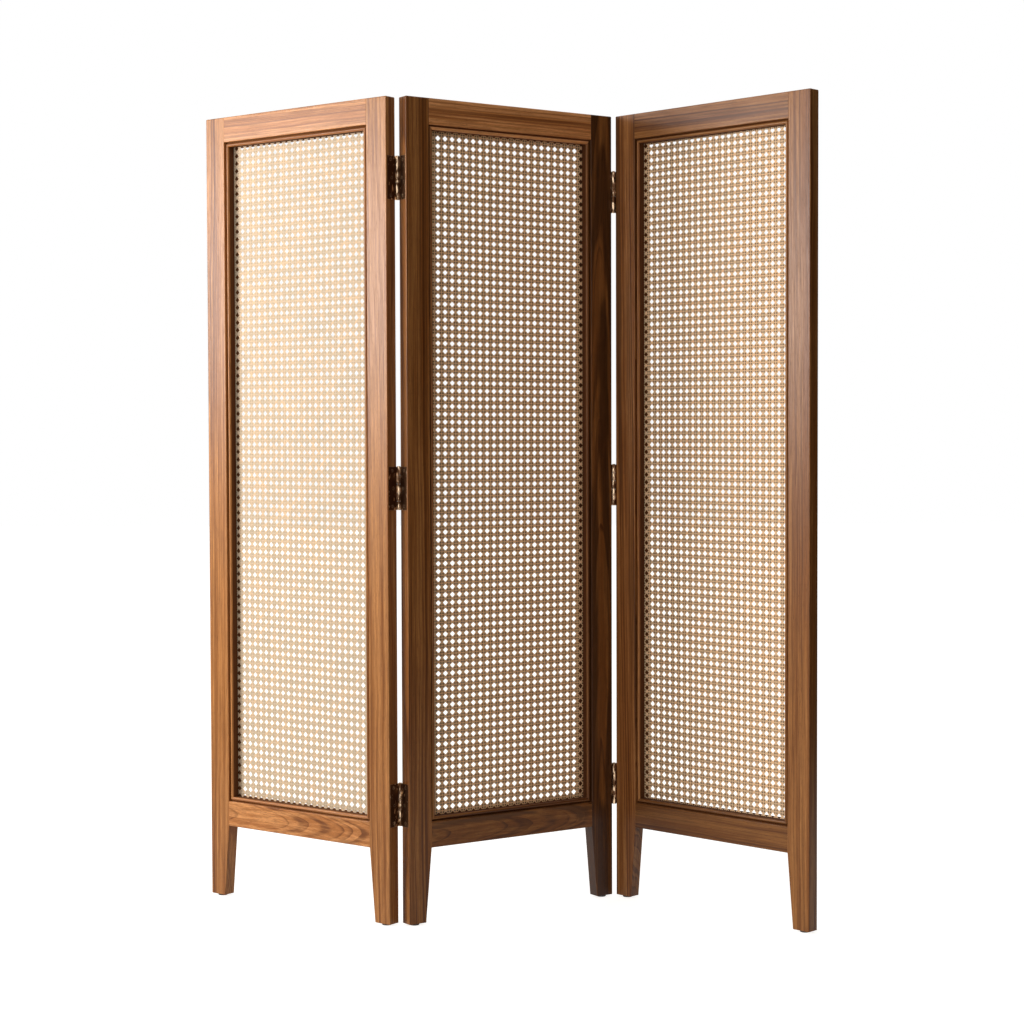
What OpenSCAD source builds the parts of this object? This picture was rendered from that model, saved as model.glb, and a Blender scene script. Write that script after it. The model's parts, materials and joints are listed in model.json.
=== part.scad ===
// Three-panel folding screen. Hardwood frames stand on tapered legs, hold open
// cane webbing behind a quirked bead, and are joined in a zigzag by butt hinges.
// Lengths are millimetres. +X runs to the right along the screen, +Y runs away
// from the viewer and +Z is up. The floor is at z = 0, and the screen's bounding
// box is centred on the Z axis in the zigzag pose drawn here.

/* [Frame] */
// Height of a panel from the floor to the top of its frame
panel_h = 1700; // [1300:10:2100]
// Width of a panel over its stiles
panel_w = 520; // [400:5:700]
// Thickness of stiles and rails
frame_t = 28; // [24:1:40]
// Face width of a stile
stile_w = 55; // [45:1:80]
// Face height of a rail
rail_h = 54; // [40:1:90]
// Height of the bottom rail's lower edge above the floor
leg_h = 158; // [120:1:260]
// Width of a leg at its foot, where the taper ends
foot_w = 41; // [30:1:45]
// Easing cut along the outer arrises
arris = 1.2; // [0.5:0.1:2]
// Rounding of the outer top corners
top_round = 2.5; // [1:0.5:10]

/* [Joinery] */
// Length of a rail's tenon
tenon_l = 28; // [18:1:32]
// Thickness of a tenon
tenon_t = 10; // [7:0.5:14]
// Shoulder above and below a tenon
tenon_shoulder = 7; // [3:0.5:12]
// Play round a tenon and past its end
tenon_gap = 0.1; // [0.05:0.05:0.3]

/* [Beads and stops] */
// Width of the front bead, its quirk included
bead_w = 10; // [8:0.5:14]
// Width of the quirk between frame and bead
quirk_w = 3.3; // [2:0.1:4]
// Depth of the quirk's floor behind the frame's face
quirk_d = 6.5; // [5:0.5:10]
// Distance of the bead's crest behind the frame's face
bead_set = 2.4; // [0.5:0.1:4]
// Width of the flat stops behind the stiles' beads
stop_w = 18; // [12:1:24]
// Width of the flat stops behind the rails' beads
rail_stop_w = 12; // [10:1:24]
// Thickness of the flat stops
stop_t = 6; // [4:0.5:8]
// Distance of the stops inside the frame's back face
stop_set = 0.4; // [0:0.1:2]
// Play in each mitred corner
mitre_gap = 0.1; // [0.05:0.05:0.3]

/* [Cane] */
// Thickness of the cane webbing
cane_t = 2; // [1.5:0.1:3]
// Play between the webbing's edge and the frame
cane_gap = 0.8; // [0.3:0.1:2]
// Solid selvedge held between bead and stop
cane_border = 14; // [12:1:30]
// Open cells across a panel
cane_cols = 5; // [2:1:6]
// Open cells up a panel
cane_rows = 16; // [4:1:18]
// Width of the strands left between cells
cane_bar = 6; // [3:0.5:12]
// Share of a cell's width that its cut corners take
cane_cut = 0.28; // [0.1:0.01:0.4]

/* [Hinges] */
// Length of a hinge
hinge_l = 89; // [70:1:110]
// Wood left between a leaf and the face away from the knuckle
leaf_margin = 3; // [2:0.5:8]
// Thickness of a leaf, which is also the depth it is let in
leaf_t = 2; // [1.5:0.1:3]
// Play round a leaf in its bed
leaf_gap = 0.1; // [0.05:0.05:0.3]
// Radius of a knuckle
knuckle_r = 4; // [3.5:0.1:4.8]
// Number of knuckles on a hinge
knuckles = 5; // [3:2:7]
// Gap between one knuckle and the next
knuckle_gap = 0.4; // [0.2:0.1:0.8]
// Radius of a hinge pin
pin_r = 2; // [1.5:0.1:2.6]
// Running clearance of the pin in its knuckles
pin_gap = 0.05; // [0.02:0.01:0.09]
// Radius of the pin's head
pin_head_r = 3.2; // [2.8:0.1:3.8]
// Height of the pin's head
pin_head_h = 1.2; // [0.8:0.1:2]
// Distance of the pin's axis outside the panel's face
pin_out = 5.2; // [4.9:0.1:8]
// Gap between two panels when they are opened straight
edge_gap = 2; // [1:0.1:4]
// Height of the lowest hinge's middle above the floor
hinge_low_h = 249; // [220:1:400]
// Height of the middle hinge's middle above the floor
hinge_mid_h = 902; // [600:1:1100]
// Distance of the highest hinge's middle below the panel's top
hinge_top_drop = 164; // [120:1:300]

/* [Screws] */
// Radius of a screw's shank
screw_r = 1.7; // [1.3:0.1:2]
// Length of a screw over its head
screw_l = 20; // [14:1:24]
// Radius of a screw's countersunk head
screw_head_r = 3.3; // [2.8:0.1:4]
// Straight part of a leaf's hole below its countersink
screw_land = 0.4; // [0.2:0.1:0.8]
// Distance of the outer screws from the leaf's ends
screw_end = 8; // [6:0.5:14]
// Offset of the middle screw towards the knuckle
screw_stagger = 3; // [0:0.5:5]
// Clearance of a screw in its leaf and its pilot hole
screw_gap = 0.1; // [0.05:0.05:0.3]
// Width of the slot in a screw's head
slot_w = 0.9; // [0.6:0.1:1.2]
// Depth of the slot in a screw's head
slot_d = 0.8; // [0.4:0.1:1.2]

/* [Glides] */
// Radius of a nail-on glide
glide_r = 10; // [8:0.5:13]
// Thickness of a glide
glide_t = 4; // [3:0.5:8]
// Radius of a glide's nail
nail_r = 1.25; // [1:0.05:2]
// Length of a glide's nail in the leg
nail_l = 16; // [10:1:25]
// Clearance round a glide's nail
nail_gap = 0.1; // [0.05:0.05:0.3]

/* [Pose] */
// Plan angle of the first panel, whose right edge comes forward
first_angle = 37.7; // [20:0.1:60]
// Plan angle of the second panel, whose left edge comes forward
second_angle = 34; // [20:0.1:60]
// Plan angle of the third panel, whose right edge comes forward
third_angle = 44.4; // [20:0.1:60]

/* [Hidden] */
PANELS = ["first", "second", "third"];
SIDES = ["left", "right", "top", "bottom"];
LEVELS = ["top", "middle", "bottom"];
FOLDS = ["first_fold", "second_fold"];
// Where the knuckles are at each panel's left and right edge: 1 behind, -1 in front, 0 none
KNUCKLES = [[0, 1], [1, -1], [-1, 0]];

// Tones of the wood, the cane, the hinges and the glides
walnut = "#8a5a38";
walnut_bead = "#96633f";
straw = "#d9bd8c";
bronze = "#5d4a34";
dark_plastic = "#2b2420";

// Facets of a full circle, steps round a stile's top corner, and the overshoot of every cut
round_fn = 32;
corner_steps = 6;
cut = 1;

// The opening inside a frame, and the depths of what is held in it
open_w = panel_w - 2 * stile_w;
open_z = leg_h + rail_h;
open_h = panel_h - rail_h - open_z;
stop_front = frame_t - stop_set - stop_t;
cane_front = stop_front - cane_t;
nose_r = (bead_w - quirk_w) / 2;
nose_d = bead_set + nose_r;

// The tenon's height, and its place in the rail's thickness
tenon_h = rail_h - 2 * tenon_shoulder;
tenon_y = (frame_t - tenon_t) / 2;

// The pin's axis lies this far from a panel's edge, outside it
edge_out = edge_gap / 2;
leaf_w = frame_t - leaf_margin;
knuckle_pitch = (hinge_l + knuckle_gap) / knuckles;
knuckle_l = knuckle_pitch - knuckle_gap;
hinge_heights = [panel_h - hinge_top_drop, hinge_mid_h, hinge_low_h];
// Height of a screw above the leaf's lower end, and its distance from the panel's face
screw_places = [
    [screw_end, (leaf_w + screw_stagger) / 2],
    [hinge_l / 2, (leaf_w - screw_stagger) / 2],
    [hinge_l - screw_end, (leaf_w + screw_stagger) / 2]
];
// The countersink stops short of the leaf's inner face
head_h = leaf_t - screw_land;

// A panel's turn about Z, seen from above, and where its own left front corner lies
turns = [-first_angle, second_angle, -third_angle];
function turned(p, a) = [p[0] * cos(a) - p[1] * sin(a), p[0] * sin(a) + p[1] * cos(a)];
// Pins in the panels' own plans: the first fold's is behind, the second fold's in front
left_pin = [-edge_out, frame_t + pin_out];
right_pin = [panel_w + edge_out, frame_t + pin_out];
left_pin_front = [-edge_out, -pin_out];
right_pin_front = [panel_w + edge_out, -pin_out];
first_pin = turned(left_pin, turns[1]);
second_pin = turned(right_pin_front, turns[1]);
corners = [
    first_pin - turned(right_pin, turns[0]),
    [0, 0],
    second_pin - turned(left_pin_front, turns[2])
];
// The eased corners of every panel give the bounding box that the origin is centred on
plan = [
    [arris, 0], [panel_w - arris, 0], [panel_w, arris], [panel_w, frame_t - arris],
    [panel_w - arris, frame_t], [arris, frame_t], [0, frame_t - arris], [0, arris]
];
spots = [for (i = [0:2]) for (p = plan) corners[i] + turned(p, turns[i])];
centre = [for (k = [0:1]) (min([for (s = spots) s[k]]) + max([for (s = spots) s[k]])) / 2];

echo(first_pin = first_pin - centre, second_pin = second_pin - centre);
echo(spans = [for (k = [0:1]) max([for (s = spots) s[k]]) - min([for (s = spots) s[k]])]);

// Moves a panel's own plan to its place in the zigzag
module placed(i) {
    translate([corners[i][0] - centre[0], corners[i][1] - centre[1], 0])
        rotate([0, 0, turns[i]])
            children();
}

// Extrudes an outline drawn in X and Z through a depth of y along +Y
module front_prism(y) {
    translate([0, y, 0])
        rotate([90, 0, 0])
            linear_extrude(height = y)
                children();
}

// Extrudes an outline drawn in Y and Z through a length of x along +X
module side_prism(x) {
    rotate([90, 0, 90])
        linear_extrude(height = x)
            children();
}

// Stile with its outer edge at x = 0: straight above, tapered inside below the rail
module stile_blank() {
    intersection() {
        linear_extrude(height = panel_h)
            polygon([
                [arris, 0], [stile_w, 0], [stile_w, frame_t], [arris, frame_t],
                [0, frame_t - arris], [0, arris]
            ]);
        front_prism(frame_t)
            polygon([
                [0, glide_t], [foot_w, glide_t], [stile_w, leg_h], [stile_w, panel_h],
                for (k = [0:corner_steps])
                    let (a = 90 + 90 * k / corner_steps)
                        [top_round + top_round * cos(a), panel_h - top_round + top_round * sin(a)]
            ]);
        side_prism(stile_w)
            polygon([
                [0, 0], [frame_t, 0], [frame_t, panel_h - arris], [frame_t - arris, panel_h],
                [arris, panel_h], [0, panel_h - arris]
            ]);
    }
}

// Mortises for both rails and the glide's pilot hole, cut from a stile
module stile_cuts() {
    for (z = [leg_h, panel_h - rail_h])
        translate([stile_w - tenon_l - tenon_gap, tenon_y - tenon_gap, z + tenon_shoulder - tenon_gap])
            cube([tenon_l + tenon_gap + cut, tenon_t + 2 * tenon_gap, tenon_h + 2 * tenon_gap]);
    translate([foot_w / 2, frame_t / 2, glide_t - cut])
        cylinder(r = nail_r + nail_gap, h = nail_l + nail_gap + cut, $fn = round_fn);
}

// Beds for three leaves, and pilot holes for their screws, in the edge at x = 0.
// The knuckles are behind the panel, beyond y = frame_t.
module hinge_cuts() {
    for (z = hinge_heights)
        translate([0, 0, z - hinge_l / 2]) {
            translate([-cut, leaf_margin - leaf_gap, -leaf_gap])
                cube([leaf_t + cut, leaf_w + leaf_gap + cut, hinge_l + 2 * leaf_gap]);
            for (p = screw_places)
                translate([0, frame_t - p[1], p[0]])
                    rotate([0, 90, 0])
                        cylinder(r = screw_r + screw_gap, h = screw_l + screw_gap, $fn = round_fn);
        }
}

// A stile in its panel. side is 0 for the left one and 1 for the right one.
// knuckle is 1 where hinges lie behind, -1 where they lie in front and 0 without hinges.
module stile(side, knuckle) {
    color(walnut)
        translate([side * panel_w, 0, 0])
            mirror([side, 0, 0])
                difference() {
                    stile_blank();
                    stile_cuts();
                    if (knuckle > 0) hinge_cuts();
                    if (knuckle < 0) translate([0, frame_t, 0]) mirror([0, 1, 0]) hinge_cuts();
                }
}

// A rail with its tenons. It stands at height z, with its outer arrises eased:
// the upper ones on the top rail, the lower ones on the bottom rail.
module rail(z, top) {
    eased = [[0, 0], [frame_t, 0], [frame_t, rail_h - arris], [frame_t - arris, rail_h],
             [arris, rail_h], [0, rail_h - arris]];
    color(walnut)
        translate([stile_w, 0, z]) {
            side_prism(open_w)
                polygon(top ? eased : [for (p = eased) [p[0], rail_h - p[1]]]);
            translate([-tenon_l, tenon_y, tenon_shoulder])
                cube([open_w + 2 * tenon_l, tenon_t, tenon_h]);
        }
}

// The bead's section, with depth across and distance from the frame's edge upwards
module bead_section() {
    translate([quirk_d, 0])
        square([cane_front - quirk_d, bead_w]);
    translate([nose_d, quirk_w])
        square([cane_front - nose_d, 2 * nose_r]);
    translate([nose_d, quirk_w + nose_r])
        circle(r = nose_r, $fn = round_fn);
}

// The section of a stop w wide, flat and with its inner arris eased
module stop_section(w) {
    translate([stop_front, 0])
        polygon([[0, 0], [stop_t, 0], [stop_t, w - arris], [stop_t - arris, w], [0, w]]);
}

// A strip of length l and width w along +X, mitred at both ends to strips of width end_w
module mitred(l, w, end_w) {
    intersection() {
        side_prism(l)
            children();
        front_prism(frame_t)
            polygon([
                [mitre_gap, 0], [l - mitre_gap, 0], [l - end_w - mitre_gap, w], [end_w + mitre_gap, w]
            ]);
    }
}

// Puts a strip drawn along the opening's lower edge on one of its four sides
module on_side(side) {
    if (side == "bottom")
        translate([stile_w, 0, open_z]) children();
    if (side == "top")
        translate([stile_w, 0, open_z + open_h]) mirror([0, 0, 1]) children();
    if (side == "left")
        translate([stile_w, 0, open_z]) mirror([1, 0, 0]) rotate([0, -90, 0]) children();
    if (side == "right")
        translate([stile_w + open_w, 0, open_z]) rotate([0, -90, 0]) children();
}

// Whether a side of the opening is a rail's, and the length of its edge
function level(side) = side == "top" || side == "bottom";
function edge_l(side) = level(side) ? open_w : open_h;

// Front bead on one side of the opening
module bead(side) {
    color(walnut_bead)
        on_side(side)
            mitred(edge_l(side), bead_w, bead_w)
                bead_section();
}

// Back stop on one side of the opening
module stop(side) {
    w = level(side) ? rail_stop_w : stop_w;
    end_w = level(side) ? stop_w : rail_stop_w;
    color(walnut)
        on_side(side)
            mitred(edge_l(side), w, end_w)
                stop_section(w);
}

// An eight-sided cell of the webbing, w wide and h high, with its corners cut
module cell(w, h) {
    c = cane_cut * w;
    polygon([[c, 0], [w - c, 0], [w, c], [w, h - c], [w - c, h], [c, h], [0, h - c], [0, c]]);
}

// Cane webbing as an open net, gripped along its edges between beads and stops
module cane() {
    pitch_w = (open_w - 2 * cane_border + cane_bar) / cane_cols;
    pitch_h = (open_h - 2 * cane_border + cane_bar) / cane_rows;
    color(straw)
        translate([stile_w, cane_front, open_z])
            front_prism(cane_t)
                difference() {
                    translate([cane_gap, cane_gap])
                        square([open_w - 2 * cane_gap, open_h - 2 * cane_gap]);
                    for (i = [0:cane_cols - 1], j = [0:cane_rows - 1])
                        translate([cane_border + i * pitch_w, cane_border + j * pitch_h])
                            cell(pitch_w - cane_bar, pitch_h - cane_bar);
                }
}

// Round glides, each nailed under the middle of a foot
module glides() {
    color(dark_plastic)
        for (x = [foot_w / 2, panel_w - foot_w / 2])
            translate([x, frame_t / 2, 0]) {
                cylinder(r = glide_r, h = glide_t, $fn = round_fn);
                cylinder(r = nail_r, h = glide_t + nail_l, $fn = round_fn);
            }
}

// Everything in the hinge modules is drawn round the pin, which stands on the Z axis.
// The leaf's panel is on the +X side, and its face lies at y = -pin_out.

// A leaf with its own knuckles: the odd ones, counted from below, where odd is true
module leaf(odd) {
    function own(k) = (k % 2 == 0) == odd;
    color(bronze)
        difference() {
            union() {
                translate([edge_out, -pin_out - leaf_w, 0])
                    cube([leaf_t, leaf_w + pin_out - knuckle_r - knuckle_gap, hinge_l]);
                for (k = [0:knuckles - 1])
                    if (own(k))
                        translate([0, 0, k * knuckle_pitch]) {
                            cylinder(r = knuckle_r, h = knuckle_l, $fn = round_fn);
                            translate([edge_out, -knuckle_r - knuckle_gap - cut, 0])
                                cube([leaf_t, knuckle_r + knuckle_gap + cut, knuckle_l]);
                        }
            }
            translate([0, 0, -cut])
                cylinder(r = pin_r + pin_gap, h = hinge_l + 2 * cut, $fn = round_fn);
            for (p = screw_places)
                translate([edge_out, -pin_out - p[1], p[0]])
                    rotate([0, 90, 0]) {
                        screw_shape(screw_gap, leaf_t + cut);
                        translate([0, 0, -cut])
                            cylinder(r = screw_head_r + screw_gap, h = cut, $fn = round_fn);
                    }
        }
}

// A countersunk screw's outline along +Z from its head's face, grown by a gap
module screw_shape(gap, l) {
    cylinder(r1 = screw_head_r + gap, r2 = screw_r + gap, h = head_h, $fn = round_fn);
    cylinder(r = screw_r + gap, h = l, $fn = round_fn);
}

// A countersunk wood screw along +X, with its slot upright
module screw() {
    rotate([0, 90, 0])
        difference() {
            screw_shape(0, screw_l);
            translate([-screw_head_r - cut, -slot_w / 2, -cut])
                cube([2 * (screw_head_r + cut), slot_w, slot_d + cut]);
        }
}

// The nine screws of a stile's three leaves
module leaf_screws() {
    color(bronze)
        for (z = hinge_heights, p = screw_places)
            translate([edge_out, -pin_out - p[1], z - hinge_l / 2 + p[0]])
                screw();
}

// The three pins of a fold, each hanging from a head on its highest knuckle
module pins() {
    color(bronze)
        for (z = hinge_heights)
            translate([0, 0, z - hinge_l / 2]) {
                cylinder(r = pin_r, h = hinge_l, $fn = round_fn);
                translate([0, 0, hinge_l])
                    cylinder(r = pin_head_r, h = pin_head_h, $fn = round_fn);
            }
}

// Moves what is drawn round a pin to a fold of a panel in its own plan.
// edge is 1 at the panel's right edge and 0 at its left, back is true behind it.
module at_pin(edge, back) {
    translate([edge == 1 ? panel_w + edge_out : -edge_out, back ? frame_t + pin_out : -pin_out, 0])
        mirror([edge, 0, 0])
            mirror([0, back ? 0 : 1, 0])
                children();
}

module panel_stile(i, side) {
    placed(i)
        stile(side, KNUCKLES[i][side]);
}

// A fold's left leaf sits on panel f at its right edge, its right leaf on panel f + 1
module fold_leaf(f, right, z) {
    placed(f + right)
        at_pin(1 - right, f == 0)
            translate([0, 0, z - hinge_l / 2])
                leaf(right == 0);
}

module fold_screws(f, right) {
    placed(f + right)
        at_pin(1 - right, f == 0)
            leaf_screws();
}

module fold_pins(f) {
    placed(f)
        at_pin(1, f == 0)
            pins();
}

for (i = [0:2]) {
    panel_stile(i, 0);
    panel_stile(i, 1);
    placed(i) rail(panel_h - rail_h, true);
    placed(i) rail(leg_h, false);
    placed(i) cane();
    placed(i) glides();
    for (s = SIDES) {
        placed(i) bead(s);
        placed(i) stop(s);
    }
}
for (f = [0:1]) {
    for (k = [0:2]) {
        fold_leaf(f, 0, hinge_heights[k]);
        fold_leaf(f, 1, hinge_heights[k]);
    }
    fold_pins(f);
    fold_screws(f, 0);
    fold_screws(f, 1);
}
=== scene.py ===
"""Three-panel folding screen: walnut frames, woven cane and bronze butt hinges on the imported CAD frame."""

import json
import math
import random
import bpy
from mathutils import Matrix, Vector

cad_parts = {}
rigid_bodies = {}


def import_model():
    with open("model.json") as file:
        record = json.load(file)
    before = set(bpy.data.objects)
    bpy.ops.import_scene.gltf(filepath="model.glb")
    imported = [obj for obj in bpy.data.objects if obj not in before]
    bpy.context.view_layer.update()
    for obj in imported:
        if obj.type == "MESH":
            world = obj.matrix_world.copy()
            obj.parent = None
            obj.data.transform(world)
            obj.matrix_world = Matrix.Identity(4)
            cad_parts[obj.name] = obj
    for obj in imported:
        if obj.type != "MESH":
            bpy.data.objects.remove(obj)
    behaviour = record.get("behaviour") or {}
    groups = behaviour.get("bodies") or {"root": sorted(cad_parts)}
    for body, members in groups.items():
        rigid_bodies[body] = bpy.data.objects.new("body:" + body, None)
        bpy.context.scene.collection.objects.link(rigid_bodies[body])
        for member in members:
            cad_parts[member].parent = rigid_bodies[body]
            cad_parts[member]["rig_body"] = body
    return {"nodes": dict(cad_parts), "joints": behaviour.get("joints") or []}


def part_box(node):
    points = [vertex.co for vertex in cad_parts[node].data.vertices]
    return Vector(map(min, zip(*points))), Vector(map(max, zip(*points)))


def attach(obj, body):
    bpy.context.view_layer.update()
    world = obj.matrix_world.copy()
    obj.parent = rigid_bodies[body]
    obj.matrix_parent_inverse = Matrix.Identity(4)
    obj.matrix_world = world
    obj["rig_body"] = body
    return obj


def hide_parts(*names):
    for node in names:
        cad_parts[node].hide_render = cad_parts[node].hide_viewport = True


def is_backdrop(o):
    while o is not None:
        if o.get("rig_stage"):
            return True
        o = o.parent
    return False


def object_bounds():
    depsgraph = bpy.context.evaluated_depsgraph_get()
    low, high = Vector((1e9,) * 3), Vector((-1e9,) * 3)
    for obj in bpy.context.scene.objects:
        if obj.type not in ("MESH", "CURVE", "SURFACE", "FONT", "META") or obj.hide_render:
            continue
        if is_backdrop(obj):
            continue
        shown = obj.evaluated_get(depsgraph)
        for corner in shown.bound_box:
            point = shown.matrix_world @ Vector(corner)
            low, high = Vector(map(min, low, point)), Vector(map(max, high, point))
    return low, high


bl_info = {
    "name": "Cane folding screen",
    "version": (1, 0, 0),
    "blender": (4, 5, 0),
    "location": "3D View > Sidebar > Screen",
    "description": "Dresses the frame of a three-panel folding screen in walnut, woven cane and bronze",
    "category": "Object",
}

import bmesh
import bpy
import numpy as np
from mathutils import Matrix, Vector, noise

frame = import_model()

PANELS = ("first", "second", "third")
SIDES = ("left", "right", "top", "bottom")
LEVEL_SIDES = SIDES[2:]
LEVELS = ("top", "middle", "bottom")
FOLDS = ("first_fold", "second_fold")
# Where the knuckles are at each panel's left and right edge: 1 behind, -1 in front, 0 none
KNUCKLES = ((0, 1), (1, -1), (-1, 0))
# A point counts as lying on a plane within this distance
NEAR = 0.00002
# Edges that bend by less than this, in radians, are never rounded
SHARP = 0.3
# How far a cutter stands out of the wood that it cuts
STAND_OUT = 0.001


# Sizes and colours


def number(name, description, default, **kind):
    """A number for a property group, of a unit, subtype or range."""
    return bpy.props.FloatProperty(name=name, description=description, default=default, **kind)


def length(name, description, default):
    """A length in metres for a property group."""
    return number(name, description, default, precision=5, unit="LENGTH")


def colour(name, description, default):
    """A linear colour for a property group."""
    return bpy.props.FloatVectorProperty(
        name=name, description=description, default=default, size=3, subtype="COLOR", min=0, max=1
    )


class ScreenFrame(bpy.types.PropertyGroup):
    """Sizes of the wooden frames."""

    width: length("Width", "Width of a panel", 0.520)
    height: length("Height", "Height of a panel", 1.700)
    thick: length("Thickness", "Thickness of the stiles and rails", 0.028)
    stile: length("Stile", "Width of a stile", 0.055)
    rail: length("Rail", "Height of a rail", 0.054)
    leg: length("Leg", "Height of the bottom rail's lower edge", 0.158)
    foot: length("Foot", "Width of a leg at its foot", 0.041)
    outer_round: length("Outer arris", "Radius of the frame's outer edges", 0.002)
    inner_round: length("Opening arris", "Radius of the edges round the opening", 0.0016)
    joint_round: length("Joint arris", "Radius of the edges at a rail's shoulders", 0.0003)
    corner_round: length("Top corner", "Radius of a panel's upper outer corners", 0.0025)
    tenon: length("Tenon", "Length of a tenon", 0.028)
    tenon_thick: length("Tenon thickness", "Thickness of a tenon", 0.010)
    shoulder: length("Shoulder", "Depth of a tenon's upper and lower shoulders", 0.007)
    play: length("Play", "Gap round tenons, leaves and mitres", 0.0001)


class ScreenTrim(bpy.types.PropertyGroup):
    """Sizes of the beads and stops round the openings."""

    bead: length("Bead", "Width of the bead with its quirk", 0.010)
    quirk: length("Quirk", "Width of the quirk", 0.0033)
    quirk_depth: length("Quirk depth", "Depth of the quirk below the frame's face", 0.0065)
    set_back: length("Set-back", "Distance of the nose behind the frame's face", 0.0024)
    stop: length("Side stop", "Width of the stops behind the stiles' beads", 0.018)
    rail_stop: length("Rail stop", "Width of the stops behind the rails' beads", 0.012)
    stop_thick: length("Stop thickness", "Thickness of the back stop", 0.006)
    stop_set: length("Stop set-back", "Distance of the stop behind the frame's back", 0.0004)
    stop_round: length("Stop arris", "Radius of the stop's inner edge", 0.0012)
    cane_front: length("Cane front", "Depth of the webbing's front behind the frame's face", 0.0196)
    cane_thick: length("Cane thickness", "Thickness of the webbing as woven", 0.002)


class ScreenCane(bpy.types.PropertyGroup):
    """Sizes and colour of the woven cane."""

    strand: length("Strand", "Width of an upright or level strand", 0.0028)
    slant: length("Slant", "Width of a slanting strand", 0.0036)
    thick: length("Thickness", "Thickness of a strand", 0.0006)
    rise: length("Rise", "How far a strand swings to pass over another", 0.00012)
    flat: length("Flat", "Half the length of a slant that stays at one depth at a crossing", 0.0041)
    spread: length("Spread", "Half the distance between the strands of a pair", 0.00125)
    gap: length("Gap", "Gap between the webbing and the frame", 0.0009)
    jitter: length("Jitter", "How far a strand may stray from its line", 0.00014)
    slack: length("Slack", "How far the whole weave wanders", 0.0004)
    skin: colour("Skin", "Colour of the coolest strands", (0.62, 0.48, 0.33))
    gold: colour("Golden skin", "Colour of the warmest strands", (1.0, 0.62, 0.33))
    # Edge is the colour of the painted shade on the strands' flanks and in the corners of the holes
    edge: colour("Edge", "Colour of the finish caught at the crossings", (0.06, 0.022, 0.006))


class ScreenHinges(bpy.types.PropertyGroup):
    """Sizes of the hinges, their beds and the glides."""

    pin_aside: length("Pin aside", "Distance of a fold's pins beyond a stile's outer edge", 0.001)
    pin_clear: length("Pin clear", "Distance of a fold's pins off the frame's face", 0.0052)
    bed_depth: length("Bed depth", "Depth of a hinge's bed in the stile's edge", 0.002)
    bed_margin: length("Bed margin", "Wood left beside a hinge's bed, away from the pin", 0.003)
    leaf_round: length("Leaf arris", "Radius of the edges of leaves and pins", 0.0003)
    screw_round: length("Screw arris", "Radius of the screws' edges", 0.00015)
    glide_round: length("Glide arris", "Radius of the glides' edges", 0.0008)


class ScreenFinish(bpy.types.PropertyGroup):
    """Colours of the wood, the hinges and the glides."""

    walnut_light: colour("Walnut light", "Palest streaks of the wood", (0.67, 0.29, 0.095))
    walnut_mid: colour("Walnut middle", "Main tone of the wood", (0.41, 0.145, 0.036))
    walnut_dark: colour("Walnut dark", "Darkest lines of the wood", (0.12, 0.032, 0.006))
    bronze: colour("Bronze", "Aged surface of the hinges", (0.10, 0.046, 0.022))
    brass: colour("Rubbed brass", "Bare metal where the bronze is rubbed off", (0.88, 0.64, 0.42))
    glide: colour("Glide", "Moulded plastic under the feet", (0.020, 0.014, 0.011))


class ScreenStage(bpy.types.PropertyGroup):
    """The camera, the lights and the floor."""

    lens: number("Lens", "Focal length in millimetres", 73.994, subtype="DISTANCE_CAMERA")
    camera: bpy.props.FloatVectorProperty(
        name="Camera", description="Camera's place", default=(0.024325, -4.429617, 1.002255),
        size=3, precision=5, subtype="TRANSLATION", unit="LENGTH"
    )
    dip: number("Dip", "Camera's angle below level", math.radians(1.982), unit="ROTATION")
    roll: number("Roll", "Camera's turn about its own axis", math.radians(0.174), unit="ROTATION")
    lamp: number("Lamp", "Power of the soft lamp on the left", 97, unit="POWER")
    fill: number("Fill", "Power of the broad lamp in front on the left", 54, unit="POWER")
    sky: number("Sky", "Strength of the even light from the front", 0.5, min=0)
    backdrop: number("Backdrop", "Strength of the light from a white wall behind", 0.9, min=0)
    floor: colour("Floor", "Colour of the floor", (0.45, 0.45, 0.45))
    glow: colour("Glow", "Tint of the glow that makes the floor look white", (1.0, 0.98, 0.955))
    glow_level: number("Glow level", "Strength of the floor's glow to the camera", 0.88, min=0)


# The panels' places, from the frame's pins and cane


def plan_angle(vector):
    """A plan vector's angle from +X."""
    return math.atan2(vector[1], vector[0])


def panel_place(index):
    """The matrix from a panel's own plan, X along its width, Y to its back and Z up, to the frame."""
    scene = bpy.context.scene
    s, t, h = scene.screen_frame, scene.screen_trim, scene.screen_hinges
    fold = min(index, 1)
    pin = Vector(frame["joints"][fold]["pos_m"][:2])
    low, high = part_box(f"{PANELS[index]}_cane")
    middle = ((low + high) / 2).xy
    own_pin = Vector((
        s.width + h.pin_aside if index == fold else -h.pin_aside,
        s.thick + h.pin_clear if fold == 0 else -h.pin_clear,
    ))
    own_middle = Vector((s.width / 2, t.cane_front + t.cane_thick / 2))
    angle = plan_angle(middle - pin) - plan_angle(own_middle - own_pin)
    corner = pin - Matrix.Rotation(angle, 2) @ own_pin
    return Matrix.Translation((corner.x, corner.y, 0)) @ Matrix.Rotation(angle, 4, "Z")


# Shapes


def axis_vector(axis, value):
    """A vector along one axis."""
    vector = Vector((0, 0, 0))
    vector[axis] = value
    return vector


def box(bm, low, high):
    """Adds a box between two corners."""
    low, high = Vector(low), Vector(high)
    made = bmesh.ops.create_cube(bm, size=1)["verts"]
    bmesh.ops.scale(bm, vec=high - low, verts=made)
    bmesh.ops.translate(bm, vec=(low + high) / 2, verts=made)


def split(bm, axis, place, way=1, clear=False):
    """Cuts along a plane across an axis and returns the cut. clear takes off what lies that way of it."""
    return bmesh.ops.bisect_plane(
        bm, geom=bm.verts[:] + bm.edges[:] + bm.faces[:], plane_co=axis_vector(axis, place),
        plane_no=axis_vector(axis, way), clear_outer=clear
    )["geom_cut"]


def on(value, place):
    """Whether a coordinate lies on a plane."""
    return abs(value - place) < NEAR


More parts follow.
